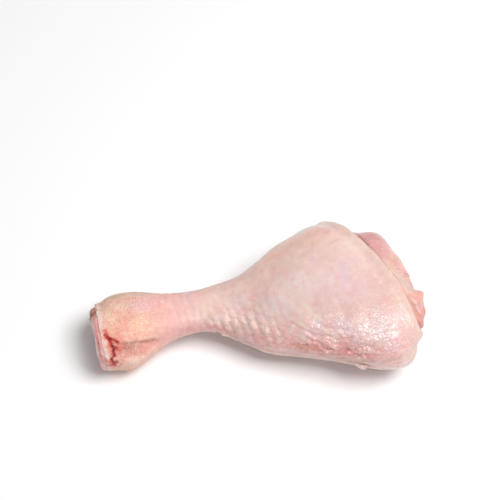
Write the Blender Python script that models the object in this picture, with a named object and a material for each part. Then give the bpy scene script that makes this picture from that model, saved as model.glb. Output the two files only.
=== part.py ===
"""A raw chicken drumstick, lying on its side with its skin on.

Three solids, one inside the other: the tibia, the meat round it and the sleeve of skin round both.
X runs from the cut ankle to the knee end, Z is up and the drumstick rests on Z = 0.
The sizes below are in millimetres and degrees, and MM takes them to metres.
"""

import math
from collections import namedtuple

import bmesh
import bpy
from mathutils import Vector

MM = 0.001

# The layers, from the outside in.
SKIN_THICKNESS = 1.2
LAYER_GAP = 0.3
MEAT_DEPTH = SKIN_THICKNESS + LAYER_GAP

# The outer form. Each station is one cross section of the leg, square to X: the place of its middle,
# half its width from side to side and half its height.
Station = namedtuple("Station", "x y z half_width half_height")
LEG = (
    Station(-1.5, 0.6, 12.6, 12.3, 11.2),  # the ankle's cut
    Station(4.0, 1.1, 12.5, 13.9, 12.3),
    Station(10.0, 1.1, 12.4, 14.7, 12.8),  # the knuckle
    Station(17.0, 1.8, 13.0, 12.4, 11.7),
    Station(25.0, 2.5, 13.9, 9.2, 9.2),
    Station(37.0, 2.3, 14.9, 7.6, 7.7),  # the shank, at its thinnest
    Station(48.0, -0.2, 15.2, 10.5, 9.2),
    Station(58.0, -3.1, 16.3, 15.3, 12.6),
    Station(70.0, -3.2, 18.6, 21.2, 17.3),
    Station(84.0, -4.0, 20.7, 26.5, 20.9),
    Station(93.0, -6.8, 21.2, 28.8, 21.8),
    Station(102.0, -10.7, 21.0, 28.6, 21.6),  # the calf, at its fullest
)
CALF = LEG[-1]
SECTION_SQUARENESS = 2.15

# Past the calf the form closes over the knee, leaning to the near side and down.
KNEE_REACH, KNEE_LEAN, KNEE_DROP = 22.0, 3.5, 2.0
KNEE_FULLNESS, KNEE_TAPER = 2.8, 1.55

# Where the skin starts and stops. It has drawn back from the ankle's cut. Its other edge lies across
# the knee, a long way short of the end on the far side and well over it on the near side.
SKIN_START = 3.2
TORN_ANGLE, TORN_HALF_ANGLE, TORN_DEPTH = 152.0, 24.0, 1.6
EDGE_MIDDLE, EDGE_SWING, EDGE_MOST_ANGLE = 102.5, 14.0, 155.0

# The crease along the knuckle, over the tendon at the back of the ankle.
CREASE_ANGLE, CREASE_HALF_ANGLE, CREASE_DEPTH = 151.0, 21.0, 1.4
CREASE_FROM, CREASE_TO = 2.0, 25.0

# The meat starts under the knuckle's skin and closes over the knee as far as the bone. Its muscles
# part there in furrows, and one of them stands out past the bone.
MEAT_START, MEAT_END, BORE_END, BONE_MOUTH = 11.0, 118.6, 112.0, 116.8
MOUTH_TIGHTNESS = 6
FURROW_ANGLES = (18.0, 82.0, 205.0, 290.0)
FURROW_HALF_ANGLE, FURROW_DEPTH = 19.0, 1.8
LOBE_ANGLE, LOBE_HALF_ANGLE, LOBE_REACH = 140.0, 75.0, 3.0

# The tibia, by the same kind of cross section. Both of its heads show, at the ankle and at the knee.
BONE = (
    Station(-1.2, -0.2, 12.6, 11.6, 10.5),
    Station(3.0, 0.6, 12.6, 12.0, 10.7),
    Station(9.0, 1.0, 12.6, 10.4, 9.2),
    Station(16.0, 1.5, 13.0, 6.6, 6.0),
    Station(27.0, 2.2, 14.2, 4.2, 4.1),
    Station(40.0, 2.0, 15.2, 3.8, 3.8),
    Station(65.0, 1.0, 17.8, 4.2, 4.2),
    Station(87.0, -4.0, 19.6, 5.4, 5.2),
    Station(104.0, -9.4, 20.0, 7.8, 7.4),
    Station(117.8, -13.0, 19.6, 8.4, 8.0),
)
BONE_SQUARENESS = 2.3
HEAD_ROUNDING, ROUNDING_STEPS = 1.4, 2

# How finely each solid is faceted.
SEGMENTS, BONE_SEGMENTS = 48, 24
SKIN_RINGS, LINING_RINGS, FACE_RINGS, BONE_RINGS = 36, 19, 8, 15
RING_CROWDING = 0.45
SLOPE_STEP = 0.1


def smooth(share):
    """0 to 1 as share goes from 0 to 1, with a level start and end."""
    share = min(1.0, max(0.0, share))
    return share * share * (3.0 - 2.0 * share)


def bump(angle, middle, half_angle):
    """1 at the middle angle, falling to 0 at half_angle to either side of it."""
    away = abs((angle - middle + 180.0) % 360.0 - 180.0)
    return smooth(1.0 - away / half_angle)


def station_at(stations, x):
    """The cross section at x, on a smooth curve through the stations (Catmull-Rom, unevenly spaced)."""
    i = max(k for k in range(len(stations) - 1) if k == 0 or stations[k].x <= x)
    before, here, there = stations[max(i - 1, 0)], stations[i], stations[i + 1]
    after = stations[min(i + 2, len(stations) - 1)]
    step = there.x - here.x
    t = (x - here.x) / step
    leave = step / (there.x - before.x)
    arrive = step / (after.x - here.x)

    def curve(a, b, c, d):
        hermite = (2 * t**3 - 3 * t**2 + 1) * b + (3 * t**2 - 2 * t**3) * c
        return hermite + (t**3 - 2 * t**2 + t) * (c - a) * leave + (t**3 - t**2) * (d - b) * arrive

    return Station(*(curve(*values) for values in zip(before, here, there, after)))


def section_at(x):
    """The leg's cross section at x, up to the calf or past it in the knee."""
    if x <= CALF.x:
        return station_at(LEG, x)
    share = (x - CALF.x) / KNEE_REACH
    size = (1.0 - share**KNEE_FULLNESS) ** KNEE_TAPER
    y, z = CALF.y - share * KNEE_LEAN, CALF.z - share * KNEE_DROP
    return Station(x, y, z, size * CALF.half_width, size * CALF.half_height)


def around(station, angle, squareness, margin=0.0):
    """The point at this angle on a station's rounded outline. Angle 0 is the far side, 90 the top."""
    c, s = math.cos(math.radians(angle)), math.sin(math.radians(angle))
    power = 2.0 / squareness
    side = math.copysign(abs(c) ** power, c) * (station.half_width + margin)
    up = math.copysign(abs(s) ** power, s) * (station.half_height + margin)
    return Vector((station.x, station.y + side, station.z + up))


def form(x, angle):
    """A point of the outer form, before it is flattened on the table."""
    along = (x - CREASE_FROM) / (CREASE_TO - CREASE_FROM)
    crease = smooth(1.5 * (1.0 - abs(2.0 * along - 1.0)))
    crease *= CREASE_DEPTH * bump(angle, CREASE_ANGLE, CREASE_HALF_ANGLE)
    return around(section_at(x), angle, SECTION_SQUARENESS, -crease)


def layer(x, angle, depth, sunk=0.0):
    """A point depth under the outer form and sunk below that. It keeps its depth above the table."""
    ahead = form(x + SLOPE_STEP, angle) - form(x - SLOPE_STEP, angle)
    turn = form(x, angle + SLOPE_STEP) - form(x, angle - SLOPE_STEP)
    point = form(x, angle) - (depth + sunk) * turn.cross(ahead).normalized()
    return Vector((point.x, point.y, max(point.z, depth)))


def skin_edge(angle):
    return EDGE_MIDDLE + EDGE_SWING * math.cos(math.radians(angle - EDGE_MOST_ANGLE))


def under_skin(share, angle, depth):
    """A point depth under the sleeve of skin, share of the way from its torn start to its edge."""
    start = SKIN_START + TORN_DEPTH * bump(angle, TORN_ANGLE, TORN_HALF_ANGLE)
    return layer(start + share * (skin_edge(angle) - start), angle, depth)


def angles(count):
    return [360.0 * k / count for k in range(count)]


def shares(count):
    """The places of count rings along the sleeve, from 0 to 1 and closer together over the knee."""
    evenly = [k / (count - 1) for k in range(count)]
    return [share * (1.0 + RING_CROWDING - RING_CROWDING * share) for share in evenly]


def skin_rings():
    """The rings of the sleeve: out along its outside, and back along its lining."""
    for share in shares(SKIN_RINGS):
        yield [under_skin(share, a, 0.0) for a in angles(SEGMENTS)]
    for share in reversed(shares(LINING_RINGS)):
        yield [under_skin(share, a, SKIN_THICKNESS) for a in angles(SEGMENTS)]


def bone_places():
    """The distances along the leg where the bone has its rings, short of its two ends."""
    first, last = BONE[0].x + HEAD_ROUNDING, BONE[-1].x - HEAD_ROUNDING
    return [first + (last - first) * k / (BONE_RINGS - 1) for k in range(BONE_RINGS)]


def bone_ring(x, margin, segments):
    """One ring round the bone, margin millimetres off its surface."""
    station = station_at(BONE, x)
    return [around(station, a, BONE_SQUARENESS, margin) for a in angles(segments)]


def knee_ring(share):
    """One ring of the meat over the knee, share of the way from the skin's edge in to the bone."""
    ring = []
    for angle, mouth in zip(angles(SEGMENTS), bone_ring(BONE_MOUTH, LAYER_GAP, SEGMENTS)):
        x = skin_edge(angle) + share * (MEAT_END - skin_edge(angle))
        furrow = FURROW_DEPTH * max(bump(angle, a, FURROW_HALF_ANGLE) for a in FURROW_ANGLES)
        point = layer(x, angle, MEAT_DEPTH, furrow * smooth(2.0 * share))
        point.x += LOBE_REACH * bump(angle, LOBE_ANGLE, LOBE_HALF_ANGLE) * smooth(share)
        ring.append(point.lerp(mouth, share**MOUTH_TIGHTNESS))
    return ring


def meat_rings():
    """The rings of the meat: along under the skin, in over the knee, and back along the bone."""
    for share in shares(LINING_RINGS)[1:]:
        yield [under_skin(share, a, MEAT_DEPTH) for a in angles(SEGMENTS)]
    for k in range(1, FACE_RINGS + 1):
        yield knee_ring(math.sin(0.5 * math.pi * k / FACE_RINGS))
    bore = [x for x in bone_places() if MEAT_START < x < BORE_END]
    for x in bore[::-1] + [MEAT_START]:
        yield bone_ring(x, LAYER_GAP, SEGMENTS)


def bone_rings():
    """The rings of the bone, both of its ends rounded over."""
    places = [(x, 0.0) for x in bone_places()]
    for k in range(1, ROUNDING_STEPS + 1):
        turn = 0.5 * math.pi * k / ROUNDING_STEPS
        out, shrink = HEAD_ROUNDING * math.sin(turn), HEAD_ROUNDING * (math.cos(turn) - 1.0)
        places.insert(0, (BONE[0].x + HEAD_ROUNDING - out, shrink))
        places.append((BONE[-1].x - HEAD_ROUNDING + out, shrink))
    for x, margin in places:
        yield bone_ring(x, margin, BONE_SEGMENTS)


def loft(name, rings, closed):
    """A solid skinned over rings in order. A closed one runs round to its first ring, and any other
    is capped at both ends."""
    mesh = bmesh.new()
    rings = list(rings)
    loops = []
    for k, ring in enumerate(rings):
        is_end = not closed and k in (0, len(rings) - 1)
        circle = bmesh.ops.create_circle(mesh, cap_ends=is_end, segments=len(ring), radius=1.0)
        for vert, point in zip(circle["verts"], ring):
            vert.co = point * MM
        loops.append({edge for vert in circle["verts"] for edge in vert.link_edges})
    followers = loops[1:] + (loops[:1] if closed else [])
    for loop, following in zip(loops, followers):
        bmesh.ops.bridge_loops(mesh, edges=list(loop | following))
    bmesh.ops.triangulate(mesh, faces=mesh.faces, quad_method="SHORT_EDGE")
    bmesh.ops.recalc_face_normals(mesh, faces=mesh.faces)
    if mesh.calc_volume(signed=True) < 0.0:
        bmesh.ops.reverse_faces(mesh, faces=mesh.faces)
    data = bpy.data.meshes.new(name)
    mesh.to_mesh(data)
    mesh.free()
    data.shade_smooth()
    node = bpy.data.objects.new(name, data)
    bpy.context.scene.collection.objects.link(node)
    return node


def stand_on_origin(nodes):
    """Bring the middle of the whole drumstick's underside to the origin."""
    points = [vert.co for node in nodes for vert in node.data.vertices]
    low = [min(point[axis] for point in points) for axis in range(3)]
    high = [max(point[axis] for point in points) for axis in range(3)]
    for node in nodes:
        node.location = (-0.5 * (low[0] + high[0]), -0.5 * (low[1] + high[1]), -low[2])


def finish(name, colour, roughness):
    """A Principled material of one colour."""
    material = bpy.data.materials.new(name)
    material.use_nodes = True
    shader = material.node_tree.nodes["Principled BSDF"]
    shader.inputs["Base Color"].default_value = (*colour, 1.0)
    shader.inputs["Roughness"].default_value = roughness
    shader.inputs["Metallic"].default_value = 0.0
    return material


def main():
    for old in list(bpy.data.objects):
        bpy.data.objects.remove(old)
    skin = loft("skin", skin_rings(), closed=True)
    skin.data.materials.append(finish("raw_skin", (0.84, 0.60, 0.55), 0.35))
    meat = loft("meat", meat_rings(), closed=True)
    meat.data.materials.append(finish("raw_meat", (0.78, 0.42, 0.38), 0.3))
    bone = loft("bone", bone_rings(), closed=False)
    bone.data.materials.append(finish("bone_and_cartilage", (0.80, 0.68, 0.64), 0.3))
    stand_on_origin((skin, meat, bone))


main()
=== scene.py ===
"""The looks of a raw chicken drumstick: skin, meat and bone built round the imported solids.

Lengths in this script are millimetres and angles are degrees, until MM takes them to metres. Only the
floor, the lights and the camera are given in metres.
A place on the drumstick is given by its distance along the leg and its angle round it: 0 is the far
side, 90 the top, 180 the near side. Past KNEE_START the distance fans out over the knee's face.
"""

import math

import bmesh
import bpy
import numpy as np
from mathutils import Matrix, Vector, noise
from mathutils.bvhtree import BVHTree


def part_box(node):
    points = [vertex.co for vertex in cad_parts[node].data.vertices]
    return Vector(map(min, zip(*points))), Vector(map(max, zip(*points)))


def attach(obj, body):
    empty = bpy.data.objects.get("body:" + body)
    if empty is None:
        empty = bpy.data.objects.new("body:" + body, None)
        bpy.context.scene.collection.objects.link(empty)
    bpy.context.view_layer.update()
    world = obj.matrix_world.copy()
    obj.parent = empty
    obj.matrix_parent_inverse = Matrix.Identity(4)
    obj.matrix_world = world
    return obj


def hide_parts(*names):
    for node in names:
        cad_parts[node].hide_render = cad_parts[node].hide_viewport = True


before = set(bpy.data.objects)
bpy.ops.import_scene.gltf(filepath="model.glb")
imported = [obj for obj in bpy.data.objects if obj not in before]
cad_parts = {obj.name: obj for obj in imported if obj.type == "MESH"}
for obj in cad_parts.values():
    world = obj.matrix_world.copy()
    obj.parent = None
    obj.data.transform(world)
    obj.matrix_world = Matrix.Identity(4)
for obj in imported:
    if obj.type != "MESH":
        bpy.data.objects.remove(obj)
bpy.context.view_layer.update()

MM = 0.001
# Rays start this far from the drumstick's middle, outside it.
FAR_OFF = 90.0

# The leg's own coordinates.
ANKLE_CUT, KNEE_TIP = (corner.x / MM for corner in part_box("bone"))
KNEE_START = 38.0
FAN_RADIUS = 24.0
# Angles are first looked at this many columns apart.
SCAN_STRIDE = 8

SKIN_THICKNESS = 1.2
SKIN_EDGE_THICKNESS = 1.9
# How far out the skin's outer surface lies from the meat and from the ankle's ring.
SKIN_OVER_MEAT = 1.5
SKIN_OVER_BONE = 1.3
# The skin starts this far from the ankle cut, and lies on the ankle's ring up to the second distance.
SKIN_STARTS = 1.5
RING_LENGTH = 9.0
# The skin's edge at the knee is drawn back all round, and further in a stretch of the near side.
DRAWN_BACK = 2.4
NEAR_DRAWN_BACK, NEAR_MIDDLE, NEAR_HALF_ANGLE = 2.6, 150.0, 22.0
# The raggedness of its edges is noise read round a ring of this radius.
RAGGED_RADIUS = 14.0
# Painted shade on the skin's edge at the knee, for the shadow down to the meat: how much of its red,
# green and blue it keeps.
EDGE_PAINTED_SHADE = (0.68, 0.55, 0.52)
FLOOR_GAP = 0.02


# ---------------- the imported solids, as seen by rays


def search_tree(*nodes):
    """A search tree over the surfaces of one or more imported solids, in millimetres."""
    points, faces = [], []
    for node in nodes:
        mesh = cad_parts[node].data
        faces += [tuple(len(points) + corner for corner in face.vertices) for face in mesh.polygons]
        points += [vertex.co / MM for vertex in mesh.vertices]
    return BVHTree.FromPolygons(points, faces)


def middle_line(tree, low, high, softened=13):
    """The middle of a solid's cross sections along X, as a table of x, y and z."""
    middle = [0.0, 0.0, 0.5 * (low.z + high.z) / MM]
    line = []
    for x in np.arange(low.x / MM + 0.1, high.x / MM):
        # Each is looked for twice, because the middle in y and the middle in z depend on each other.
        for axis in (1, 2, 1, 2):
            ends = []
            for way in (-1.0, 1.0):
                far = Vector((x, middle[1], middle[2]))
                far[axis] += way * FAR_OFF
                ray = Vector((0.0, 0.0, 0.0))
                ray[axis] = -way
                hit = tree.ray_cast(far, ray, 2.0 * FAR_OFF)[0]
                ends.append(middle[axis] if hit is None else hit[axis])
            middle[axis] = 0.5 * sum(ends)
        line.append([x, middle[1], middle[2]])
    line = np.array(line)
    kernel = np.hanning(softened) / np.hanning(softened).sum()
    padded = np.pad(line, ((softened // 2, softened // 2), (0, 0)), mode="edge")
    soft = np.stack([np.convolve(padded[:, k], kernel, mode="valid") for k in (1, 2)], -1)
    return np.column_stack([line[:, 0], soft])


SKIN_TREE, MEAT_TREE, BONE_TREE = (search_tree(node) for node in ("skin", "meat", "bone"))
LEG_LINE = middle_line(search_tree("skin", "meat"), *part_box("skin"))
BONE_LINE = middle_line(BONE_TREE, *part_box("bone"))


def on_line(line, xs):
    """The y and z of a middle line at distances along X."""
    return [np.interp(xs, line[:, 0], line[:, k]) for k in (1, 2)]


def rays(along, angle):
    """Where the rays of the leg's coordinates start, and the way they point."""
    along, angle = np.broadcast_arrays(np.asarray(along, float), np.asarray(angle, float))
    turn = np.radians(angle)
    tilt = np.clip((along - KNEE_START) / FAN_RADIUS, 0.0, 0.5 * math.pi)
    x = np.minimum(along, KNEE_START)
    start = np.stack([x, *on_line(LEG_LINE, x)], -1)
    way = np.stack([np.sin(tilt), np.cos(tilt) * np.cos(turn), np.cos(tilt) * np.sin(turn)], -1)
    return start, way


def reach(tree, along, angle):
    """How far out a solid's outer surface is on each ray. Where a ray misses it, nan."""
    start, way = rays(along, angle)
    far = (start + FAR_OFF * way).reshape(-1, 3)
    found = []
    for point, ray in zip(far, way.reshape(-1, 3)):
        hit = tree.ray_cast(Vector(point), Vector(-ray), FAR_OFF)
        found.append(np.nan if hit[0] is None else FAR_OFF - hit[3])
    return np.array(found).reshape(way.shape[:-1])


def bone_reach(xs, angles):
    """The bone's radius in sections square to X, at each distance and angle."""
    found = np.empty((len(xs), len(angles)))
    for i, middle in enumerate(zip(xs, *on_line(BONE_LINE, xs))):
        for j, turn in enumerate(np.radians(angles)):
            way = Vector((0.0, math.cos(turn), math.sin(turn)))
            hit = BONE_TREE.ray_cast(Vector(middle) + FAR_OFF * way, -way, FAR_OFF)
            found[i, j] = np.nan if hit[0] is None else FAR_OFF - hit[3]
    return found


def bone_rings(xs, radii, angles):
    """Rings of points round the bone's middle line, square to X."""
    turn = np.radians(angles)[None, :]
    y, z = (middle[:, None] for middle in on_line(BONE_LINE, xs))
    x = np.broadcast_to(xs[:, None], radii.shape)
    return np.stack([x, y + radii * np.cos(turn), z + radii * np.sin(turn)], -1)


def filled(distances):
    """Distances in which a ray that missed counts as the mean of the rest."""
    return np.where(np.isnan(distances), np.nanmean(distances), distances)


def blurred(table, rows, columns):
    """A table smoothed over its rows and, wrapping round, over its columns."""
    for axis, width in ((0, rows), (1, columns)):
        half = int(3 * width)
        if half < 1:
            continue
        kernel = np.exp(-0.5 * (np.arange(-half, half + 1) / width) ** 2)
        kernel /= kernel.sum()
        pad = [(0, 0)] * table.ndim
        pad[axis] = (half, half)
        if axis:
            padded = np.pad(table, pad, mode="wrap")
        else:
            padded = np.pad(table, pad, mode="reflect", reflect_type="odd")
        length = table.shape[axis]
        parts = [share * np.take(padded, range(k, k + length), axis) for k, share in enumerate(kernel)]
        table = sum(parts)
    return table


def spread_round(angles, seen, values):
    """Values known at some angles round the leg, given at others."""
    return np.interp(angles, np.append(seen, 360.0), np.append(values, values[0]))


def outermost_stretch(outer_tree, inner_tree, scan, angles, softened):
    """Where along the leg one solid first and last lies outside another, at each angle."""
    seen = angles[::SCAN_STRIDE]
    outer = reach(outer_tree, scan[:, None], seen[None, :])
    inner = reach(inner_tree, scan[:, None], seen[None, :])
    shows = outer > np.nan_to_num(inner, nan=0.0)
    ends = scan[shows.argmax(0)], scan[len(scan) - 1 - shows[::-1].argmax(0)]
    return [blurred(spread_round(angles, seen, end)[None, :], 0, softened)[0] for end in ends]


# ---------------- small tools for relief and colour


def rgb(red, green, blue):
    """A colour given the way a screen shows it, 0 to 255, as linear light."""
    shares = [channel / 255.0 for channel in (red, green, blue)]
    return tuple(s / 12.92 if s < 0.04 else ((s + 0.055) / 1.055) ** 2.4 for s in shares)


class Paint:
    """Colours laid over one another on a table of points."""

    def __init__(self, shape, colour):
        self.colour = np.empty((*shape, 3))
        self.colour[:] = rgb(*colour)

    def over(self, share, colour):
        share = np.clip(share, 0.0, 1.0)[..., None]
        self.colour += share * (np.array(rgb(*colour)) - self.colour)


def smooth(share):
    share = np.clip(share, 0.0, 1.0)
    return share * share * (3.0 - 2.0 * share)


def ramp(value, start, end):
    """0 at start and before it, 1 at end and past it, and a smooth rise between them."""
    return smooth((value - start) / (end - start))


def bell(distance, width):
    """1 where the distance is 0, fading out over the width."""
    return np.exp(-((distance / width) ** 2))


def folds(across, spacing, sharpness):
    """Round folds from 0 to 1, with narrow creases between them."""
    return np.abs(np.cos(math.pi * across / spacing)) ** sharpness


def turned(angle, middle):
    """The angle from middle, between -180 and 180."""
    return (angle - middle + 180.0) % 360.0 - 180.0


def drift(points, size, seed=0.0):
    """Smooth noise from -1 to 1, with features about size millimetres across."""
    flat = points.reshape(-1, 3) / size + seed
    return np.array([noise.noise(p) for p in flat]).reshape(points.shape[:-1])


def pebbles(points, size, seed=0.0):
    """Round bumps from 0 to 1, about size millimetres apart."""
    flat = points.reshape(-1, 3) / size + seed
    nearest = np.array([noise.voronoi(p)[0][0] for p in flat]).reshape(points.shape[:-1])
    return bell(nearest, 0.42)


class Place:
    """The places of a table of points, in the leg's coordinates and in space."""

    def __init__(self, along, angles, points, radius):
        self.along, self.points, self.radius = along, points, radius
        self.angle = np.broadcast_to(angles[None, :], along.shape)

    def patch(self, at, around, long, wide):
        """1 at a place, fading out over long millimetres and wide degrees."""
        return bell(self.along - at, long) * bell(turned(self.angle, around), wide)

    def swell(self, bumps):
        """The heights of a table of bumps, added up."""
        return sum(height * self.patch(*place) for height, *place in bumps)

    def arc(self, middle):
        """Millimetres round the leg from an angle."""
        return self.radius * np.radians(turned(self.angle, middle))

    def drift(self, size, seed):
        return drift(self.points, size, seed)

    def strands(self, size, seed):
        """Noise drawn out into strands along the leg."""
        drawn = np.stack([self.along * 0.16, self.arc(0.0), 0.0 * self.along], -1)
        return drift(drawn, size, seed)

    def off_path(self, path):
        """Millimetres from a path: how far and over what size it wanders, and its points."""
        wander, size, points = path
        shift = wander * self.drift(size, 1.7)
        nearest = np.full(self.along.shape, FAR_OFF)
        for (at, around), (next_at, next_around) in zip(points[:-1], points[1:]):
            length = next_at - at
            turn = self.radius * math.radians(turned(next_around, around))
            ahead = self.along + shift - at
            across = self.arc(around) + shift
            share = np.clip((ahead * length + across * turn) / (length**2 + turn**2 + 1e-9), 0.0, 1.0)
            nearest = np.minimum(nearest, np.hypot(ahead - share * length, across - share * turn))
        return nearest


def paint_spots(here, paint, spots, blotches):
    """Patches of colour from a table, made stronger and weaker by blotches."""
    for at, around, long, wide, strength, colour in spots:
        paint.over(strength * blotches * here.patch(at, around, long, wide), colour)


def ahead_and_out(points):
    """Unit vectors from row to row and out of the surface, on a table whose columns wrap round."""
    ahead = np.gradient(points, axis=0)
    wrapped = np.concatenate([points[:, -1:], points, points[:, :1]], 1)
    turn = 0.5 * (wrapped[:, 2:] - wrapped[:, :-2])
    out = np.cross(turn, ahead)
    return [way / (np.linalg.norm(way, axis=-1, keepdims=True) + 1e-12) for way in (ahead, out)]


def in_scene(name, data):
    """A new object in the scene."""
    thing = bpy.data.objects.new(name, data)
    bpy.context.scene.collection.objects.link(thing)
    return thing


def sleeve(name, rows, tints, material, ring=True):
    """A piece skinned over a table of points. Its columns run round the leg and close. Its rows close
    too if ring is true, and otherwise end in a pole at each end."""
    if ring:
        rows = np.concatenate([rows, rows[:1]], 0)
        tints = {key: np.concatenate([value, value[:1]], 0) for key, value in tints.items()}
    rows = np.concatenate([rows, rows[:, :1]], 1)
    tints = {key: np.concatenate([value, value[:, :1]], 1) for key, value in tints.items()}
    grid = bmesh.new()
    bmesh.ops.create_grid(grid, x_segments=rows.shape[1] - 1, y_segments=rows.shape[0] - 1, size=1.0)
    data = bpy.data.meshes.new(name)
    grid.to_mesh(data)
    data.vertices.foreach_set("co", (rows * MM).astype(np.float32).ravel())
    for key, value in tints.items():
        if value.ndim == 3:
            value = np.concatenate([value, np.ones((*value.shape[:2], 1))], -1)
            layer, slot = data.attributes.new(key, "FLOAT_COLOR", "POINT"), "color"
        else:
            layer, slot = data.attributes.new(key, "FLOAT", "POINT"), "value"
        layer.data.foreach_set(slot, value.astype(np.float32).ravel())
    grid.clear()
    grid.from_mesh(data)
    bmesh.ops.remove_doubles(grid, verts=grid.verts, dist=1e-7)
    bmesh.ops.recalc_face_normals(grid, faces=grid.faces)
    if grid.calc_volume(signed=True) < 0.0:
        bmesh.ops.reverse_faces(grid, faces=grid.faces)
    for face in grid.faces:
        face.smooth = True
    grid.to_mesh(data)
    grid.free()
    data.materials.append(material)
    return in_scene(name, data)


# ---------------- materials


class Finish:
    """Lays out one material's nodes."""

    def __init__(self, name):
        self.material = bpy.data.materials.new(name)
        self.material.use_nodes = True
        self.tree = self.material.node_tree
        self.shader = self.tree.nodes["Principled BSDF"]
        self.place = self.tree.nodes.new("ShaderNodeTexCoord").outputs["Object"]

    def add(self, kind, **settings):
        """A new node with its settings."""
        node = self.tree.nodes.new("ShaderNode" + kind)
        for key, value in settings.items():
            setattr(node, key, value)
        return node

    def link(self, source, socket):
        self.tree.links.new(source, socket)

    def set(self, **values):
        """Numbers and colours on the shader's own sockets."""
        for key, value in values.items():
            self.shader.inputs[key.replace("_", " ")].default_value = value

    def feed(self, name, source):
        """What varies over the surface, linked to one of the shader's sockets."""
        self.link(source, self.shader.inputs[name])

    def mask(self, name, output="Fac"):
        """An attribute of the piece, as a number."""
        return self.add("Attribute", attribute_name=name).outputs[output]

    def own_colour(self):
        """The colour painted on the piece."""
        return self.mask("own_colour", "Color")

    def noise(self, size, detail=3.0, roughness=0.5, stretch=(1.0, 1.0, 1.0)):
        """Noise with features about size millimetres across."""
        mapping = self.add("Mapping")
        mapping.inputs["Scale"].default_value = stretch
        self.link(self.place, mapping.inputs["Vector"])
        node = self.add("TexNoise")
        node.inputs["Scale"].default_value = 1.0 / (size * MM)
        node.inputs["Detail"].default_value = detail
        node.inputs["Roughness"].default_value = roughness
        self.link(mapping.outputs["Vector"], node.inputs["Vector"])
        return node.outputs["Fac"]

    def cells(self, size, smoothness=None):
        """Distances to scattered points about size millimetres apart, with soft borders if asked."""
        node = self.add("TexVoronoi", feature="F1" if smoothness is None else "SMOOTH_F1")
        node.inputs["Scale"].default_value = 1.0 / (size * MM)
        if smoothness is not None:
            node.inputs["Smoothness"].default_value = smoothness
        self.link(self.place, node.inputs["Vector"])
        return node.outputs["Distance"]

    def ripples(self, size, count):
        """Fine ridges that swirl over size millimetres, from -1 to 1."""
        scaled = self.add("Math", operation="MULTIPLY")
        self.link(self.noise(size, 1.0), scaled.inputs[0])
        scaled.inputs[1].default_value = 2.0 * math.pi * count
        wave = self.add("Math", operation="SINE")
        self.link(scaled.outputs["Value"], wave.inputs[0])
        return wave.outputs["Value"]

    def span(self, value, low, high, to_low=0.0, to_high=1.0):
        """A value from low to high taken smoothly to another range."""
        node = self.add("MapRange", interpolation_type="SMOOTHSTEP")
        limits = {"From Min": low, "From Max": high, "To Min": to_low, "To Max": to_high}
        for key, number in limits.items():
            node.inputs[key].default_value = number
        self.link(value, node.inputs["Value"])
        return node.outputs["Result"]

    def sum(self, *terms):
        """Adds up (value, weight) pairs."""
        total = None
        for value, weight in terms:
            node = self.add("Math", operation="MULTIPLY_ADD")
            self.link(value, node.inputs[0])
            node.inputs[1].default_value = weight
            if total is None:
                node.inputs[2].default_value = 0.0
            else:
                self.link(total, node.inputs[2])
            total = node.outputs["Value"]
        return total

    def times(self, first, second):
        node = self.add("Math", operation="MULTIPLY")
        self.link(first, node.inputs[0])
        self.link(second, node.inputs[1])
        return node.outputs["Value"]

    def mix(self, share, first, second):
        """A colour between two colours. Each may be a socket or the way a screen shows it."""
        node = self.add("Mix", data_type="RGBA")
        self.link(share, node.inputs["Factor"])
        for key, colour in ((6, first), (7, second)):
            if isinstance(colour, tuple):
                node.inputs[key].default_value = (*rgb(*colour), 1.0)
            else:
                self.link(colour, node.inputs[key])
        return node.outputs[2]

    def tinted(self, colour, value, low, high, most, tint, where=None):
        """A colour taken towards a tint, at most that much, as a value goes from low to high. The tint
        can be held to where a mask is."""
        share = self.span(value, low, high, 0.0, most)
        if where is not None:
            share = self.times(share, where)
        return self.mix(share, colour, tint)

    def bump(self, height, depth):
        """Fine relief, with a height of 1 standing depth millimetres proud."""
        node = self.add("Bump")
        node.inputs["Strength"].default_value = 1.0
        node.inputs["Distance"].default_value = depth * MM
        self.link(height, node.inputs["Height"])
        self.feed("Normal", node.outputs["Normal"])
        self.feed("Coat Normal", node.outputs["Normal"])

    def flesh(self, weight, *depths):
        """Light that goes in: its weight, and how deep red, green and blue go in millimetres."""
        self.set(Subsurface_Weight=weight, Subsurface_Scale=1.0)
        self.set(Subsurface_Radius=[depth * MM for depth in depths])


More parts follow.
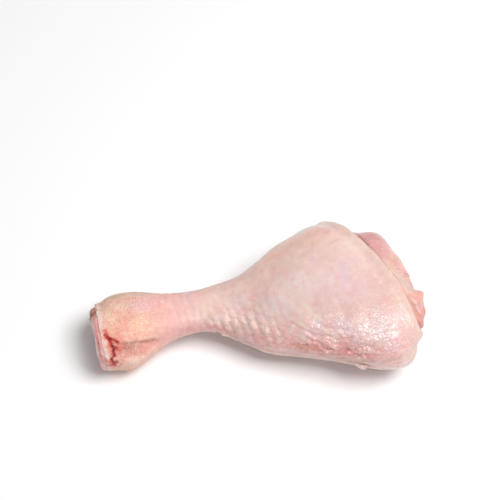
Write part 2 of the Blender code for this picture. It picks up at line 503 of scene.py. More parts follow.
def skin_finish():
    look = Finish("raw_skin")
    grain, speck = look.noise(1.1, 5.0, 0.65), look.noise(0.65, 2.0, 0.6)
    ripples, grainy = look.ripples(3.0, 9.5), look.mask("grainy")
    mottle = look.noise(3.2, 4.0, 0.6)
    colour = look.tinted(look.own_colour(), mottle, 0.5, 0.8, 0.55, (240, 214, 206))
    colour = look.tinted(colour, mottle, 0.5, 0.25, 0.5, (222, 164, 158))
    colour = look.tinted(colour, grain, 0.55, 0.8, 0.5, (246, 226, 218))
    speckle = look.sum((speck, 1.0), (ripples, 0.06))
    colour = look.tinted(colour, speckle, 0.5, 0.75, 0.5, (250, 230, 220), grainy)
    colour = look.tinted(colour, speckle, 0.48, 0.25, 0.5, (206, 142, 132), grainy)
    pits = look.cells(0.9)
    colour = look.tinted(colour, pits, 0.34, 0.05, 0.65, (206, 134, 110), look.mask("knuckle"))
    colour = look.mix(look.mask("blood"), colour, look.own_colour())
    look.feed("Base Color", colour)
    wet = look.sum((look.noise(2.4, 4.0), 0.5), (look.mask("dull"), 0.15))
    look.feed("Roughness", look.span(wet, 0.1, 0.5, 0.34, 0.6))
    wrinkles = look.noise(0.9, 2.0, stretch=(0.5, 1.0, 1.0))
    pores = look.cells(1.3, smoothness=0.35)
    fine = look.times(look.sum((ripples, 0.75), (speck, 0.6)), grainy)
    look.bump(look.sum((fine, 1.0), (wrinkles, 0.3), (pores, -0.2), (look.noise(2.6), 0.12)), 0.06)
    look.flesh(0.3, 1.1, 0.5, 0.4)
    look.feed("Coat Weight", look.span(look.mask("dull"), 0.0, 1.0, 0.7, 0.1))
    look.set(Coat_Roughness=0.13, Specular_IOR_Level=0.4)
    return look.material


def meat_finish():
    look = Finish("raw_meat")
    fibre = look.noise(0.9, 4.0, 0.6, (0.3, 1.0, 1.0))
    colour = look.tinted(look.own_colour(), fibre, 0.5, 0.8, 0.35, (240, 214, 202))
    colour = look.tinted(colour, fibre, 0.5, 0.2, 0.25, (170, 80, 72))
    look.feed("Base Color", colour)
    look.feed("Roughness", look.span(fibre, 0.2, 0.8, 0.26, 0.46))
    look.bump(look.sum((fibre, 1.0), (look.noise(0.5), 0.3)), 0.2)
    look.flesh(0.35, 1.8, 0.6, 0.4)
    look.set(Coat_Weight=0.5, Coat_Roughness=0.12)
    return look.material


def bone_finish():
    look = Finish("bone_and_cartilage")
    cloud = look.noise(1.6, 4.0, 0.6)
    colour = look.tinted(look.own_colour(), cloud, 0.5, 0.8, 0.4, (250, 236, 230))
    colour = look.tinted(colour, cloud, 0.5, 0.2, 0.3, (206, 150, 140))
    look.feed("Base Color", colour)
    look.feed("Roughness", look.span(cloud, 0.2, 0.8, 0.3, 0.5))
    look.bump(look.sum((cloud, 1.0), (look.noise(0.6), 0.4)), 0.2)
    look.flesh(0.3, 1.0, 0.6, 0.5)
    look.set(Coat_Weight=0.4, Coat_Roughness=0.15)
    return look.material


# ---------------- the skin

SKIN_COLUMNS, LINING_ROWS, LIP_ROWS = 380, 11, 4
ANGLES = np.arange(SKIN_COLUMNS) * 360.0 / SKIN_COLUMNS
# Row spacing in millimetres along the skin, given at shares of its length.
ROW_SHARES = (0.0, 0.13, 0.16, 0.35, 0.6, 0.65, 0.95, 1.0)
ROW_SPACING = (0.28, 0.3, 0.5, 0.5, 0.5, 0.62, 0.6, 0.3)

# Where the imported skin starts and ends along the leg, at each angle.
SKIN_SCAN = np.arange(ANKLE_CUT, KNEE_START + FAN_RADIUS * 1.5, 0.5)
SKIN_FROM, SKIN_TO = outermost_stretch(SKIN_TREE, MEAT_TREE, SKIN_SCAN, ANGLES, 6.0)

BEAD_SLANT, BEAD_ROW, BEAD_SPACING = 12.0, 3.1, 3.9
RING_SPACING = 2.9
LOW_FOLD_SPACING = 4.0
# The loose folds run down to this place along the calf and up again from it.
LOW_FOLDS_MIDDLE = 23.0

# Paths over the skin: how far and over what size each wanders, and its points as distance and angle.
TEAR = (
    0.6, 1.6,
    ((-57.3, 116), (-56.4, 123), (-56.1, 130), (-55.4, 140), (-55.5, 151), (-56.7, 160), (-56.3, 168)),
)
TEAR_BRANCH = (0.6, 1.3, ((-56.3, 123), (-55.1, 127), (-53.7, 132)))
TEAR_TWIG = (0.6, 1.3, ((-55.7, 136), (-54.4, 141), (-54, 147)))
CREASE = (0.5, 2, ((-53.4, 137), (-50, 140), (-47.1, 142), (-43, 152), (-39.5, 158)))
HEM = (
    0.8, 5,
    (
        (-14, 196), (-6, 200), (1.5, 197), (8.5, 199), (15.6, 201),
        (22.4, 198), (27.2, 194), (31, 191), (34, 193),
    ),
)
VEIN = (0.8, 2, ((9, 140), (12, 147), (15, 152), (17, 160), (19, 166)))
# A pale membrane streak along the rim, also a painted wet highlight.
RIM_STREAK_AND_HIGHLIGHT = (0.8, 2, ((47.5, 120), (48.4, 130), (48.9, 138), (49.6, 146), (50.2, 152)))

# Bumps: height in millimetres, distance, angle, length and half angle.
LOW_SLANT = (-2, 51, 180, 5, 12)
SKIN_BUMPS = (
    # The near lower corner of the knee end, in line with the meat under it, and the edge above it.
    LOW_SLANT,
    (0.3, 48, 190, 6, 12),
    (1.3, 55.6, 166, 3.2, 9),
    # The torn tip on the hem, and the notch above it.
    (0.8, 32.6, 194, 3.4, 3.2),
    (-1, 33.6, 189, 2.4, 2),
    # The knuckle's dent and the swellings on both sides of its crease.
    (-0.7, -49.5, 152, 4.5, 9),
    (0.7, -47.5, 172, 7, 9),
    (0.5, -45, 118, 7, 16),
)
# Where the skin is grainy: strength, distance, angle, length and half angle.
GRAINY_PLACES = (
    (0.8, 28, 172, 26, 24),
    (0.6, -7, 158, 13, 45),
    (0.6, 42, 140, 14, 24),
)

# Patches of colour on the skin, some of them painted shade and painted highlight: distance, angle,
# length, half angle, strength and colour.
SKIN_SPOTS_AND_PAINTED_LIGHT = (
    (-42.6, 78, 5.5, 24, 0.6, (234, 186, 194)),
    (-45, 112, 4, 18, 0.55, (238, 204, 168)),
    (-54.8, 84, 2.2, 26, 0.7, (240, 212, 176)),
    (-50, 70, 5, 14, 0.5, (230, 204, 178)),
    (-57, 52, 2.2, 13, 0.8, (176, 128, 98)),
    # Painted shade on the shank's far side, turned from the light.
    (-45, 36, 11, 20, 0.8, (206, 180, 158)),
    (-50, 120, 5, 25, 0.5, (242, 172, 150)),
    (-51, 148, 3.4, 10, 1, (184, 94, 72)),
    (-48.5, 157, 4.5, 9, 0.5, (196, 128, 116)),
    (-48.4, 173, 6, 9, 0.7, (230, 204, 192)),
    (-44.5, 160, 5.5, 8, 0.8, (208, 138, 124)),
    (-53, 142, 1.6, 6, 0.6, (170, 80, 64)),
    (-30, 165, 9, 16, 0.5, (206, 140, 138)),
    (-14, 95, 8, 35, 0.5, (232, 200, 186)),
    (-8, 142, 11, 26, 0.5, (244, 212, 202)),
    (-17, 172, 10, 16, 0.65, (222, 148, 150)),
    (2, 172, 14, 18, 0.6, (230, 168, 164)),
    (1.7, 158, 5, 8, 0.5, (212, 160, 156)),
    (24, 172, 14, 14, 0.85, (236, 146, 142)),
    (11.6, 172, 3.6, 4, 0.6, (204, 134, 104)),
    (14, 174, 3, 4, 0.5, (196, 130, 100)),
    # Painted shade in the notch above the torn tip.
    (34, 189, 2.6, 2, 0.9, (150, 98, 82)),
    (30, 187, 3, 2, 0.6, (176, 122, 92)),
    (31, 184, 5, 6, 0.5, (222, 176, 150)),
    (45, 165, 8, 18, 0.7, (228, 168, 164)),
    (28, 66, 14, 24, 0.6, (228, 200, 190)),
    (30, 112, 12, 20, 0.5, (222, 192, 204)),
    (44, 118, 5, 16, 0.5, (232, 176, 172)),
    (43, 112, 10, 30, 0.6, (214, 182, 176)),
    (8, 118, 9, 18, 0.5, (226, 206, 200)),
    # Peach, partly painted light lifting the far top of the calf, which turns from the key.
    (10, 48, 10, 20, 0.6, (240, 198, 178)),
    (24, 45, 8, 14, 0.5, (240, 190, 168)),
    # Peach, partly painted light lifting the far top of the calf, which turns from the key.
    (5, 58, 6, 14, 0.6, (248, 208, 196)),
    # Peach, partly painted light lifting the far top of the calf, which turns from the key.
    (12, 43, 6, 12, 0.5, (244, 186, 158)),
    (40.5, 56, 7, 16, 0.5, (242, 216, 208)),
    # Painted wet highlight near the rim.
    (46.5, 137, 3.5, 6, 0.5, (238, 224, 226)),
    (47.2, 124, 2.5, 5, 0.5, (214, 178, 152)),
    # Painted whitish sheen of the wet highlight on the calf's near side.
    (34, 150, 12, 10, 0.45, (238, 214, 218)),
    (16, 99, 9, 16, 0.7, (232, 212, 206)),
)


def drawn_back_edge():
    """Where the skin ends at the knee once its edge is drawn back, at each angle."""
    near = bell(turned(ANGLES, NEAR_MIDDLE), NEAR_HALF_ANGLE)
    return SKIN_TO - DRAWN_BACK - NEAR_DRAWN_BACK * near


def skin_shares():
    """How far along the skin each row of points lies, from 0 to 1."""
    length = float(np.mean(SKIN_TO - SKIN_FROM))
    shares, place = [0.0], 0.0
    while place < 1.0:
        place += np.interp(place, ROW_SHARES, ROW_SPACING) / length
        shares.append(place)
    return np.array(shares) / shares[-1]


def skin_surface(along):
    """Points of the smooth outer surface of the skin, and their distance from the leg's middle."""
    skin = reach(SKIN_TREE, along, ANGLES[None, :])
    meat = reach(MEAT_TREE, along, ANGLES[None, :]) + SKIN_OVER_MEAT
    ankle_ring = reach(BONE_TREE, np.minimum(along, KNEE_START), ANGLES[None, :]) + SKIN_OVER_BONE
    ankle_ring = np.where(along < ANKLE_CUT + RING_LENGTH, ankle_ring, np.nan)
    distance = filled(np.fmax(np.fmax(skin, meat), ankle_ring))
    start, way = rays(along, ANGLES[None, :])
    return blurred(start + distance[..., None] * way, 4.5, 5.0), distance


def neck_beads(here):
    """Rows of beaded folds that slant round the near side of the neck."""
    slant = math.radians(BEAD_SLANT)
    arc = here.arc(150.0)
    across = here.along * math.cos(slant) - arc * math.sin(slant) + 1.1 * here.drift(6.0, 3.1)
    down = here.along * math.sin(slant) + arc * math.cos(slant) + 1.2 * here.drift(5.0, 9.4)
    # Each row of beads is half a bead further on than the row before.
    down = down + 0.5 * BEAD_SPACING * np.round(across / BEAD_ROW)
    fold, bead = folds(across, BEAD_ROW, 0.7), folds(down, BEAD_SPACING, 0.7)
    strength = here.patch(-7.5, 158.0, 11.5, 40.0) * (0.8 + 0.8 * here.drift(4.0, 2.2))
    return strength * (0.35 * fold + 0.65 * fold * bead - 0.35)


def shank_rings(here):
    """Faint wrinkles round the shank."""
    wave = np.cos(2.0 * math.pi * (here.along + 1.1 * here.drift(6.0, 5.0)) / RING_SPACING)
    return here.patch(-29.0, 110.0, 11.0, 90.0) * wave * (0.6 + 0.6 * here.drift(4.0, 8.8))


def low_folds(here):
    """Loose folds along the near lower side of the calf. They run down towards the middle of the calf
    and up again from there to the knee."""
    arc = here.arc(176.0) + 0.33 * np.hypot(here.along - LOW_FOLDS_MIDDLE, 3.0)
    arc = arc + 2.4 * here.drift(7.0, 6.0) + 0.8 * here.drift(2.5, 1.1)
    fold = folds(arc, LOW_FOLD_SPACING, 0.6)
    crinkle = 0.9 * here.drift(1.3, 2.6) * (1.0 - here.patch(33.5, 191.0, 5.0, 9.0))
    strength = here.patch(24.0, 174.0, 18.0, 19.0)
    return strength * ((0.8 + 1.2 * here.drift(4.0, 4.4)) * (fold - 0.6) + crinkle)


def edge_roll(here):
    """The thick rolled edge at the knee with a dip behind it, and the thinning at the ankle."""
    roll = bell(here.to_end, 1.8) * (0.5 + 0.35 * here.drift(5.0, 2.9))
    return roll - 0.25 * bell(here.to_end - 4.5, 1.8) - 0.3 * bell(here.from_start, 1.5)


def hem_and_creases(here):
    """The hem along the low side with its groove, the vein and the crease of the knuckle."""
    hem = here.off_path(HEM)
    relief = 0.75 * bell(hem, 0.75) - 0.3 * bell(hem - 1.5, 0.7)
    return relief - 0.12 * bell(here.off_path(VEIN), 0.5) - 0.6 * bell(here.off_path(CREASE), 1.1)


def off_tear(here, off_branch=0.0):
    """Millimetres from the tear and its shallower side branches."""
    branch, twig = here.off_path(TEAR_BRANCH) + off_branch, here.off_path(TEAR_TWIG) + 0.15
    return np.minimum(here.off_path(TEAR), np.minimum(branch, twig))


def tear_relief(here):
    """The tear beside the ankle cut, its swollen lips and its clots."""
    relief = 0.25 * bell(here.off_path(TEAR) - 1.0, 0.4) * (1.0 + here.drift(1.4, 5.1))
    relief -= 0.7 * bell(off_tear(here), 0.46)
    clots = here.patch(-56.0, 166.0, 2.2, 13.0) * np.clip(here.drift(1.2, 6.6) + 0.1, 0.0, 1.0)
    return relief + 0.7 * clots


def skin_relief(here):
    """How far the skin stands proud of its smooth surface, in millimetres."""
    body, knuckle = ramp(here.along, -20.0, -4.0), ramp(here.along, -34.0, -42.0)
    relief = 0.5 * here.drift(16.0, 1.0) + 0.28 * here.drift(7.0, 7.0) + 0.07 * here.drift(2.2, 3.0)
    relief += 0.07 * body * pebbles(here.points, 2.5, 4.0)
    relief += 0.06 * (1.0 - body) * pebbles(here.points, 1.4, 2.0)
    relief += 0.18 * knuckle * here.drift(3.0, 5.5)
    relief += 1.3 * neck_beads(here) + 0.2 * shank_rings(here) + 1.1 * low_folds(here)
    relief += edge_roll(here) + hem_and_creases(here) + tear_relief(here)
    return relief + here.swell(SKIN_BUMPS)


def paint_skin_ground(here, paint):
    """The skin's blotches: cream, rose, lilac and straw, pinker at the shank, orange at the knuckle,
    and the listed spots, some of which are painted shade and highlight.
    """
    broad, middle, fine = here.drift(11.0, 4.0), here.drift(5.0, 8.0), here.drift(2.0, 2.0)
    paint.over(0.45 + 1.2 * broad + 0.7 * middle, (222, 200, 188))
    paint.over(0.25 + 1.1 * middle + 0.7 * fine, (228, 174, 170))
    paint.over(0.6 * smooth(here.drift(7.0, 12.0) * 1.8 + 0.3 * fine), (214, 188, 202))
    paint.over(0.5 * smooth(here.drift(3.0, 17.0) * 2.0), (232, 206, 184))
    paint.over(0.85 * ramp(here.along, -22.0, -38.0), (234, 178, 164))
    paint.over(0.5 * here.patch(-28.0, 110.0, 9.0, 70.0), (230, 176, 172))
    knuckle = ramp(here.along, -38.0, -44.0)
    paint.over(0.75 * knuckle * (1.0 + 0.5 * middle), (236, 176, 152))
    paint.over(0.6 * knuckle * smooth(here.drift(2.6, 21.0) * 2.0), (240, 204, 176))
    paint.over(0.6 * knuckle * smooth(here.drift(3.0, 24.0) * 2.0), (232, 150, 130))
    paint_spots(here, paint, SKIN_SPOTS_AND_PAINTED_LIGHT, 1.0 + 0.8 * middle + 0.5 * fine)


def paint_skin_lines(here, paint, relief):
    """The edges, painted shade in the hollows of the folds, the hem's pale line that is partly painted
    light, the vein, the rim's streak that is partly a painted highlight, and the crease with painted
    shade.
    """
    middle, fine = here.drift(5.0, 8.0), here.drift(2.0, 2.0)
    paint.over(0.7 * bell(here.to_end, 3.5) * (1.0 + 0.5 * middle), (218, 188, 172))
    # Painted shade in the hollows of the folds on the near side.
    paint.over(0.5 * ramp(relief, 0.0, -0.5) * here.patch(0.0, 160.0, 28.0, 40.0), (196, 130, 126))
    # The hem's pale line: a real fold of skin, its paleness partly a painted highlight of light thrown
    # up from the floor.
    paint.over(0.75 * bell(here.off_path(HEM), 0.7), (244, 216, 204))
    paint.over(0.5 * bell(here.off_path(VEIN), 0.45), (214, 140, 160))
    # The rim's pale streak: membrane, and painted wet highlight.
    streak = 0.5 * bell(here.off_path(RIM_STREAK_AND_HIGHLIGHT), 0.4)
    paint.over(streak * (0.6 + 1.5 * fine), (248, 230, 222))
    # Painted shade in and along the knuckle's crease.
    crease = here.off_path(CREASE)
    paint.over(0.35 * bell(crease, 1.2) + 0.35 * bell(crease, 0.4), (160, 92, 76))
    paint.over(0.85 * bell(here.from_start, 1.8) * (1.0 + 0.5 * fine), (232, 210, 200))


def paint_tear(here, paint):
    """The red stain, the raw red and the dark blood of the tear. Gives how bloody each point is."""
    ragged = off_tear(here, 0.1) + 0.35 * here.drift(0.9, 3.0)
    clots = here.patch(-55.9, 168.0, 2.5, 15.0) + 0.5 * here.patch(-57.2, 114.0, 0.9, 10.0)
    clots *= smooth(here.drift(1.0, 6.6) * 3.0 + 0.2)
    stain = 0.85 * bell(ragged, 2.6) * (0.8 + 1.3 * here.drift(1.8, 9.0)) + 0.5 * clots
    paint.over(stain, (222, 116, 98))
    paint.over(0.8 * bell(ragged, 0.8) * (0.7 + 1.2 * here.drift(1.0, 2.9)), (196, 52, 44))
    dark = bell(ragged, 0.46) * (0.8 + 0.8 * here.drift(1.5, 8.2)) + 0.7 * clots
    paint.over(dark, (136, 8, 8))
    return np.clip(stain + dark, 0.0, 1.0)


def skin_tints(here, relief):
    """What the skin's finish reads at each point: its own colour, and four shares from 0 to 1."""
    paint = Paint(here.along.shape, (222, 188, 180))
    paint_skin_ground(here, paint)
    paint_skin_lines(here, paint, relief)
    blood = paint_tear(here, paint)
    grainy = 0.15 + 0.8 * ramp(here.along, -34.0, -42.0) + here.swell(GRAINY_PLACES)
    return {
        "own_colour": paint.colour,
        "blood": blood,
        "dull": ramp(here.along, 12.0, -12.0),
        "knuckle": ramp(here.along, -26.0, -38.0),
        "grainy": np.clip(grainy, 0.0, 1.0),
    }


def skin_sheet(here, relief):
    """The closed table of points over the skin's outside, its edge at the knee, its lining and its edge
    at the ankle, and for each of its rows the row of the outside that it takes its tints from."""
    _, out = ahead_and_out(here.points)
    outer = here.points + relief[..., None] * out
    outer[..., 2] = np.maximum(outer[..., 2], FLOOR_GAP)
    ahead, out = ahead_and_out(outer)
    out = blurred(out, 2.0, 2.0)
    out /= np.linalg.norm(out, axis=-1, keepdims=True)
    thickness = SKIN_THICKNESS + (SKIN_EDGE_THICKNESS - SKIN_THICKNESS) * bell(here.to_end, 3.0)

    def lip(row, way):
        """Rows round an edge, from the outside of the skin to its lining."""
        turns = np.linspace(0.0, math.pi, LIP_ROWS + 2)[1:-1, None, None]
        half = 0.5 * thickness[row][None, :, None]
        round_it = half * np.sin(turns) * way * ahead[row][None]
        return outer[row][None] + round_it - half * (1.0 - np.cos(turns)) * out[row][None]

    last_row = len(outer) - 1
    back = np.linspace(last_row, 0, LINING_ROWS).astype(int)
    lining = outer[back] - thickness[back][..., None] * out[back]
    lining[..., 2] = np.maximum(lining[..., 2], SKIN_THICKNESS)
    rows = np.concatenate([outer, lip(-1, 1.0), lining, lip(0, -1.0)[::-1]], 0)
    knee_lip, ankle_lip = np.full(LIP_ROWS, last_row), np.zeros(LIP_ROWS, int)
    return rows, np.concatenate([np.arange(last_row + 1), knee_lip, back, ankle_lip])


def build_skin(skin_edge):
    share = skin_shares()[:, None]
    turn = np.radians(ANGLES)
    ring = np.stack([np.cos(turn), np.sin(turn), 0.0 * turn], -1) * RAGGED_RADIUS
    ends = skin_edge + 0.7 * drift(ring, 6.0, 2.0) + 0.25 * drift(ring, 1.6, 5.0)
    starts = ANKLE_CUT + SKIN_STARTS + 0.3 * drift(ring, 3.0, 8.0) + 0.25 * drift(ring, 1.2, 4.0)
    along = starts + share * (ends - starts)
    here = Place(along, ANGLES, *skin_surface(along))
    here.from_start, here.to_end = along - starts, ends - along
    relief = skin_relief(here)
    rows, picks = skin_sheet(here, relief)
    tints = {name: tint[picks] for name, tint in skin_tints(here, relief).items()}
    # Painted shade: the rows round the skin's edge at the knee are darkened.
    tints["own_colour"][len(share) : len(share) + LIP_ROWS] *= EDGE_PAINTED_SHADE
    piece = sleeve("skin_wrap", rows, tints, skin_finish())
    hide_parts("skin")
    return piece


# ---------------- the meat

MEAT_COLUMNS, HIDDEN_ROWS, FACE_ROWS, TUNNEL_ROWS = 400, 20, 200, 20
MEAT_ANGLES = np.arange(MEAT_COLUMNS) * 360.0 / MEAT_COLUMNS
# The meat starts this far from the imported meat's ankle end, and its bore this much further on.
MEAT_STARTS, BORE_STARTS = 1.5, 0.5
# The bore clears the bone by this gap, and runs in from this far behind its mouth.
BORE_GAP, BORE_MOUTH = 0.3, 2.5
# Its fine rows start this far behind the skin's edge.
FINE_BEHIND_EDGE = 5.0

# The muscles that show at the knee: middle angle, half width, height and colour.
MUSCLES = (
    (50, 34, 0.7, (206, 154, 150)),
    (112, 32, 0.3, (214, 178, 164)),
    (149, 24, 0.4, (214, 140, 128)),
    (188, 18, 0.3, (202, 92, 80)),
    (232, 26, 1.5, (196, 74, 60)),
    (276, 18, 0.3, (178, 52, 42)),
    (322, 36, 1.6, (214, 108, 92)),
)
# Bumps: height in millimetres, distance, angle, length and half angle.
MEAT_BUMPS = (
    (3.4, 47, 47, 7, 18),
    (2.2, 57, 66, 8, 15),
    (3.2, 61.5, 134, 4.5, 9),
    (1.3, 60, 147, 5, 8),
    (0.9, 58.5, 158, 4, 7),
    (2.4, 56.5, 166, 5, 8),
)
# Patches of colour on the meat: distance, angle, length, half angle, strength and colour.
MEAT_SPOTS = (
    (42, 44, 4, 12, 0.6, (210, 150, 152)),
    (51, 46, 4, 16, 0.7, (214, 184, 190)),
    (57, 160, 5, 12, 0.6, (204, 146, 136)),
    (47, 62, 4, 14, 0.6, (214, 154, 152)),
    (54, 100, 5, 22, 0.6, (226, 182, 162)),
    (56, 76, 6, 16, 0.6, (222, 188, 172)),
    (56, 138, 2.5, 12, 0.7, (192, 148, 136)),
    (59.2, 127, 3, 8, 0.65, (242, 200, 184)),
    (57.5, 112, 4, 9, 0.5, (236, 174, 156)),
    (64, 240, 8, 26, 0.7, (158, 34, 28)),
    (70, 30, 8, 40, 0.5, (236, 150, 140)),
    (60, 300, 4, 12, 0.6, (246, 220, 196)),
    (48, 262, 7, 18, 0.8, (248, 226, 198)),
)
# A path: how far and over what size it wanders, and its points as distance and angle.
MEMBRANE_STREAK = (0.6, 3, ((54.5, 118), (56.5, 130), (57.5, 140), (57.8, 148), (58.6, 156)))


def mouth_limit():
    """How far along the fan the meat goes before the bone, at each angle."""
    scan = np.arange(KNEE_START + 5.0, KNEE_START + FAN_RADIUS * 1.57, 0.25)
    return outermost_stretch(MEAT_TREE, BONE_TREE, scan, MEAT_ANGLES, 5.0)[1]


def across_muscles(here):
    """How far each point is from each muscle's middle, in half widths."""
    wandering = here.angle + 5.0 * here.drift(9.0, 2.0)
    return [turned(wandering, middle) / half for middle, half, _, _ in MUSCLES]


def meat_relief(here, past_edge, depth_in):
    """How far the meat stands proud of its smooth surface. past_edge is millimetres beyond the skin's
    edge and depth_in runs from 0 at that edge to 1 at the bone."""
    shown = ramp(past_edge, -1.5, 0.5)
    relief = np.zeros(here.along.shape)
    for across, (_, _, height, _) in zip(across_muscles(here), MUSCLES):
        relief += height * (np.sqrt(np.clip(1.0 - across**2, 0.0, 1.0)) - 0.35)
    relief *= ramp(past_edge, 0.0, 6.0) * (1.0 - 0.5 * ramp(depth_in, 0.7, 1.0))
    relief += ramp(past_edge, 0.0, 1.5) * here.swell(MEAT_BUMPS)
    torn = here.patch(70.0, 245.0, 16.0, 62.0)
    relief += shown * ((0.1 + 0.5 * torn) * here.strands(1.3, 3.0) + 0.05 * here.strands(0.5, 8.0))
    relief += shown * (0.3 * here.drift(6.0, 4.0) + torn * 0.9 * here.drift(2.6, 1.0))
    relief -= 0.8 * bell(past_edge - 0.9, 1.1) + 0.45 * (1.0 - shown)
    return relief + here.swell([LOW_SLANT])


def meat_colour(here, past_edge):
    """The meat's colour at each point, with a band of painted shadow under the skin's edge."""
    paint = Paint(here.along.shape, (220, 126, 112))
    middle, fine = here.drift(4.5, 8.0), here.drift(1.5, 2.0)
    for across, (_, _, _, colour) in zip(across_muscles(here), MUSCLES):
        paint.over(ramp(np.abs(across), 1.15, 0.85), colour)
    paint.over(0.3 * smooth(here.strands(1.1, 5.0)), (246, 200, 186))
    paint.over(0.35 * smooth(here.strands(0.8, 7.0) * 1.5), (176, 62, 54))
    paint.over(0.4 * smooth(middle * 1.8), (236, 194, 188))
    paint_spots(here, paint, MEAT_SPOTS, 1.0 + 0.9 * middle + 0.5 * fine)
    streak = 0.7 * bell(here.off_path(MEMBRANE_STREAK), 0.6)
    paint.over(streak * (0.8 + 1.2 * middle + 0.8 * fine), (238, 208, 198))
    # Painted shadow on the meat just past the skin's edge, under its rolled rim.
    paint.over(0.75 * bell(past_edge - 0.9, 1.3), (164, 116, 104))
    return paint.colour


def build_meat(skin_edge):
    edge = spread_round(MEAT_ANGLES, ANGLES, skin_edge)
    mouth = mouth_limit() - BORE_GAP
    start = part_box("meat")[0].x / MM + MEAT_STARTS
    fine_from = edge - FINE_BEHIND_EDGE
    hidden = start + np.linspace(0.0, 1.0, HIDDEN_ROWS + 1)[:-1, None] * (fine_from - start)
    face = fine_from + np.linspace(0.0, 1.0, FACE_ROWS)[:, None] * (mouth - fine_from)
    along = np.concatenate([hidden, face], 0)
    distance = filled(reach(MEAT_TREE, along, MEAT_ANGLES[None, :]))
    origin, way = rays(along, MEAT_ANGLES[None, :])
    points = blurred(origin + distance[..., None] * way, 0, 3.0)
    points[HIDDEN_ROWS:] = blurred(points[HIDDEN_ROWS:], 5.0, 0)
    here = Place(along, MEAT_ANGLES, points, distance)
    past_edge = along - edge
    depth_in = np.clip(past_edge / (mouth - edge), 0.0, 1.0)
    _, out = ahead_and_out(points)
    surface = points + meat_relief(here, past_edge, depth_in)[..., None] * out
    surface[..., 2] = np.maximum(surface[..., 2], SKIN_OVER_MEAT)

    inside = np.linspace(surface[-1, :, 0].mean() - BORE_MOUTH, start + BORE_STARTS, TUNNEL_ROWS)
    bore = bone_rings(inside, bone_reach(inside, MEAT_ANGLES) + BORE_GAP, MEAT_ANGLES)
    colour = meat_colour(here, past_edge)
    colour = np.concatenate([colour, np.repeat(colour[-1:], TUNNEL_ROWS, 0)], 0)
    rows = np.concatenate([surface, bore], 0)
    piece = sleeve("calf_meat", rows, {"own_colour": colour}, meat_finish())
    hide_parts("meat")
    return piece


# ---------------- the bone

BONE_COLUMNS, CAP_ROWS, ANKLE_ROWS, SHAFT_ROWS, KNEE_ROWS = 300, 40, 40, 40, 20
BONE_ANGLES = np.arange(BONE_COLUMNS) * 360.0 / BONE_COLUMNS
BONE_ROUNDING, ROUNDING_ROWS = 1.6, 8
# How far the bone's fine rows go from its ankle end and from its knee end.
ANKLE_END, KNEE_END = 9.0, 6.5
ANKLE_STANDS_OUT = 1.1
# The ankle face: its groove's place to the side, and how far its ridges lie on both sides of that.
GROOVE_SIDE, RIDGE_SIDE = -0.6, 5.2
# The dark scab on the ankle's ring.
SCAB_ANGLE, SCAB_HALF_ANGLE = 58.0, 13.0


def bone_end(x_end, way, radii):
    """Rows from the middle of an end out over its rounded edge."""
    flat = radii - BONE_ROUNDING
    turns = np.linspace(0.0, 0.5 * math.pi, ROUNDING_ROWS + 1)[:-1]
    inner = np.linspace(0.0, 1.0, CAP_ROWS + 1)[:-1, None] * flat
    edge = flat + BONE_ROUNDING * np.sin(turns)[:, None]
    edge_x = x_end - way * BONE_ROUNDING * (1.0 - np.cos(turns))
    xs = np.append(np.full(CAP_ROWS, x_end), edge_x)
    return bone_rings(xs, np.concatenate([inner, edge], 0), BONE_ANGLES)


def bone_rows():
    """The smooth bone as a table of points, from the middle of one end to the middle of the other."""
    ankle = np.linspace(ANKLE_CUT + BONE_ROUNDING, ANKLE_CUT + ANKLE_END, ANKLE_ROWS)
    shaft = np.linspace(ANKLE_CUT + ANKLE_END + 0.5, KNEE_TIP - KNEE_END - 0.5, SHAFT_ROWS)
    knee = np.linspace(KNEE_TIP - KNEE_END, KNEE_TIP - BONE_ROUNDING, KNEE_ROWS)
    xs = np.concatenate([ankle, shaft, knee])
    radii = blurred(filled(bone_reach(xs, BONE_ANGLES)), 1.2, 4.0)
    radii += 0.5 * bell(xs - ANKLE_CUT - 0.8, 1.5)[:, None]
    ankle_cap, knee_cap = bone_end(ANKLE_CUT, -1.0, radii[0]), bone_end(KNEE_TIP, 1.0, radii[-1])
    return np.concatenate([ankle_cap, bone_rings(xs, radii, BONE_ANGLES), knee_cap[::-1]], 0)


def bone_places(rows):
    """The places on the bone, with the shares of its faces, ridges and knobs from 0 to 1."""
    middle = np.stack(on_line(BONE_LINE, rows[..., 0]), -1)
    here = Place(rows[..., 0], BONE_ANGLES, rows, np.linalg.norm(rows[..., 1:] - middle, axis=-1))
    here.side = here.radius * np.cos(np.radians(here.angle))
    here.up = here.radius * np.sin(np.radians(here.angle))
    here.ankle_face = ramp(here.along, ANKLE_CUT + 0.8, ANKLE_CUT)
    here.knee_face = ramp(here.along, KNEE_TIP - 1.6, KNEE_TIP - 0.8)
    here.ridges = bell(np.abs(here.side - GROOVE_SIDE) - RIDGE_SIDE, 2.6) * ramp(here.radius, 11.5, 7.5)
    here.knobs = bell(here.side - 4.0, 3.2) * bell(here.up, 4.2)
    here.knobs += bell(here.side + 4.0, 3.0) * bell(here.up + 0.6, 3.8)
    return here


def bone_relief(here):
    """How far the bone stands proud of its smooth surface."""
    ankle, knee = ANKLE_CUT, KNEE_TIP
    near_ankle = ramp(here.along, ankle + 7.0, ankle + 4.0)
    ends = np.maximum(near_ankle, ramp(here.along, knee - 7.0, knee - 4.0))
    relief = ends * (0.22 * here.drift(3.5, 2.0) + 0.1 * here.drift(1.2, 2.0))
    groove = bell(here.side - GROOVE_SIDE, 2.2) * ramp(here.radius, 11.0, 7.0)
    relief += here.ankle_face * (0.5 * here.ridges - 1.4 * groove)
    knee_shape = 1.3 * here.knobs - 1.2 * (here.radius / 8.0) ** 2 - 0.6 * bell(here.side, 1.2) - 0.9
    relief += here.knee_face * knee_shape
    scab = here.patch(ankle + 0.8, SCAB_ANGLE, 2.4, SCAB_HALF_ANGLE)
    return relief + 0.7 * scab * np.clip(0.6 + 0.9 * here.drift(1.4, 7.0), 0.0, 1.2)


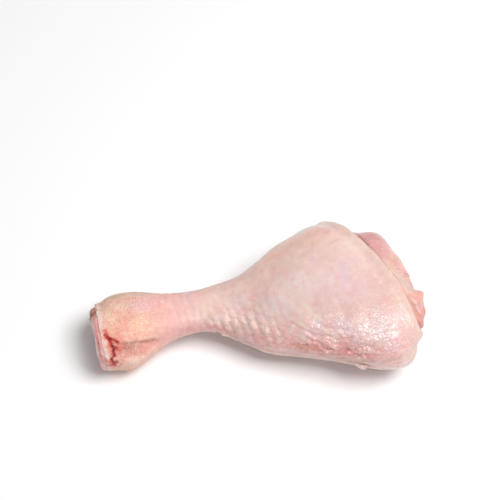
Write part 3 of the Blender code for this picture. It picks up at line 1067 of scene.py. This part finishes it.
def bone_colour(here):
    """The bone's own colour at each point."""
    ankle, knee = ANKLE_CUT, KNEE_TIP
    fine, middle = here.drift(1.2, 4.0), here.drift(4.0, 6.0)
    paint = Paint(here.along.shape, (234, 190, 172))
    paint.over(0.4 + middle + 0.5 * fine, (240, 208, 192))
    paint.over(0.8 * ramp(here.along, ankle + 4.0, ankle + 2.0), (236, 166, 164))
    paint.over(0.85 * ramp(here.along, knee - 9.0, knee - 6.0), (212, 164, 168))
    knobs = np.clip(here.knobs, 0.0, 1.0)
    paint.over(0.9 * here.knee_face * knobs * (0.9 + 0.5 * middle), (226, 200, 208))
    outskirts = here.knee_face * ramp(here.radius, 4.5, 7.5) * (1.0 - knobs)
    paint.over(0.5 * outskirts * smooth(here.drift(2.8, 3.0) * 1.6), (190, 104, 106))
    inner = here.ankle_face * ramp(here.radius, 11.5, 9.0)
    paint.over(0.85 * inner * (0.8 + 0.6 * middle), (230, 196, 190))
    paint.over(0.6 * inner * here.ridges * (1.0 + middle), (238, 220, 218))
    hollow = inner * (1.0 - here.ridges)
    paint.over(0.45 * hollow * smooth(here.drift(2.6, 9.0) * 1.6), (206, 134, 130))
    seam = bell(here.along - ankle - 0.7, 0.35) * here.patch(ankle, 135.0, 3.0, 45.0)
    paint.over(0.8 * seam * (0.9 + 0.8 * fine), (170, 78, 92))
    scab = here.patch(ankle + 0.6, SCAB_ANGLE, 2.2, SCAB_HALF_ANGLE) * ramp(here.radius, 7.5, 9.0)
    scab *= 1.2 + 1.2 * fine
    paint.over(scab, (156, 96, 62))
    paint.over(0.8 * scab * smooth(here.drift(1.0, 2.0) * 2.5), (84, 40, 26))
    bloody = ramp(here.along, ankle + 6.0, ankle + 3.0) * here.patch(ankle + 4.2, 145.0, 1.0, 30.0)
    paint.over(bloody * (0.7 + 1.2 * fine), (176, 60, 50))
    return paint.colour


def build_bone():
    rows = bone_rows()
    here = bone_places(rows)
    way = np.zeros(rows.shape)
    _, way[1:-1] = ahead_and_out(rows[1:-1])
    way[:CAP_ROWS] = (-1.0, 0.0, 0.0)
    way[-CAP_ROWS:] = (1.0, 0.0, 0.0)
    rows = rows + bone_relief(here)[..., None] * way
    rows[..., 0] -= ANKLE_STANDS_OUT * ramp(rows[..., 0], ANKLE_CUT + 2.5, ANKLE_CUT)
    for pole in (0, -1):
        rows[pole] = rows[pole].mean(0)
    piece = sleeve("shin_bone", rows, {"own_colour": bone_colour(here)}, bone_finish(), ring=False)
    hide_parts("bone")
    return piece


# ---------------- floor, lights and camera, in metres

FLOOR_HALF_WIDTH = 1.5
SKY_STRENGTH = 0.36
# Lights: the way to each, its distance, width, height and power, and whether only gloss shows it. A
# light for which that is false is kept out of the gloss.
LIGHTS = {
    "key": ((0.33, -0.18, 0.94), 0.9, 0.42, 0.42, 7.8, False),
    "front_strip": ((0.04, -0.78, 0.50), 0.8, 0.85, 0.24, 7.8, True),
}
CAMERA_TURN, CAMERA_TILT = math.radians(-12.9), math.radians(60.0)
CAMERA_DISTANCE, CAMERA_AIM = 0.52, Vector((0.0021, 0.0252, 0.0268))
# The camera's lens and sensor are in millimetres.
LENS, SENSOR = 99.3, 36.0


def build_floor():
    plane = bmesh.new()
    bmesh.ops.create_grid(plane, x_segments=1, y_segments=1, size=FLOOR_HALF_WIDTH)
    data = bpy.data.meshes.new("studio_floor")
    plane.to_mesh(data)
    plane.free()
    paper = bpy.data.materials.new("white_paper")
    paper.use_nodes = True
    shader = paper.node_tree.nodes["Principled BSDF"]
    shader.inputs["Base Color"].default_value = (0.9, 0.9, 0.9, 1.0)
    shader.inputs["Roughness"].default_value = 0.9
    shader.inputs["Specular IOR Level"].default_value = 0.1
    data.materials.append(paper)
    floor = in_scene("studio_floor", data)


def build_lights():
    world = bpy.data.worlds.new("studio")
    world.use_nodes = True
    sky = world.node_tree.nodes["Background"]
    sky.inputs["Color"].default_value = (1.0, 1.0, 1.0, 1.0)
    sky.inputs["Strength"].default_value = SKY_STRENGTH
    bpy.context.scene.world = world
    for name, (way, distance, width, height, power, only_in_gloss) in LIGHTS.items():
        light = bpy.data.lights.new(name, "AREA")
        light.shape = "RECTANGLE"
        light.size, light.size_y = width, height
        light.energy = power
        lamp = in_scene(name, light)
        lamp.visible_glossy = only_in_gloss
        lamp.visible_diffuse = not only_in_gloss
        lamp.location = Vector(way).normalized() * distance
        lamp.rotation_euler = Vector(way).to_track_quat("Z", "Y").to_euler()


def build_camera():
    level, up = math.cos(CAMERA_TILT), math.sin(CAMERA_TILT)
    back = Vector((math.sin(CAMERA_TURN) * level, -math.cos(CAMERA_TURN) * level, up))
    camera = bpy.data.cameras.new("camera")
    camera.sensor_width = SENSOR
    camera.lens = LENS
    holder = in_scene("camera", camera)
    holder.location = CAMERA_AIM + back * CAMERA_DISTANCE
    holder.rotation_euler = back.to_track_quat("Z", "Y").to_euler()
    bpy.context.scene.camera = holder


def main():
    skin_edge = drawn_back_edge()
    for piece in (build_skin(skin_edge), build_meat(skin_edge), build_bone()):
        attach(piece, "root")
    build_floor()
    build_lights()
    build_camera()
    bpy.context.scene.view_settings.view_transform = "Standard"


main()
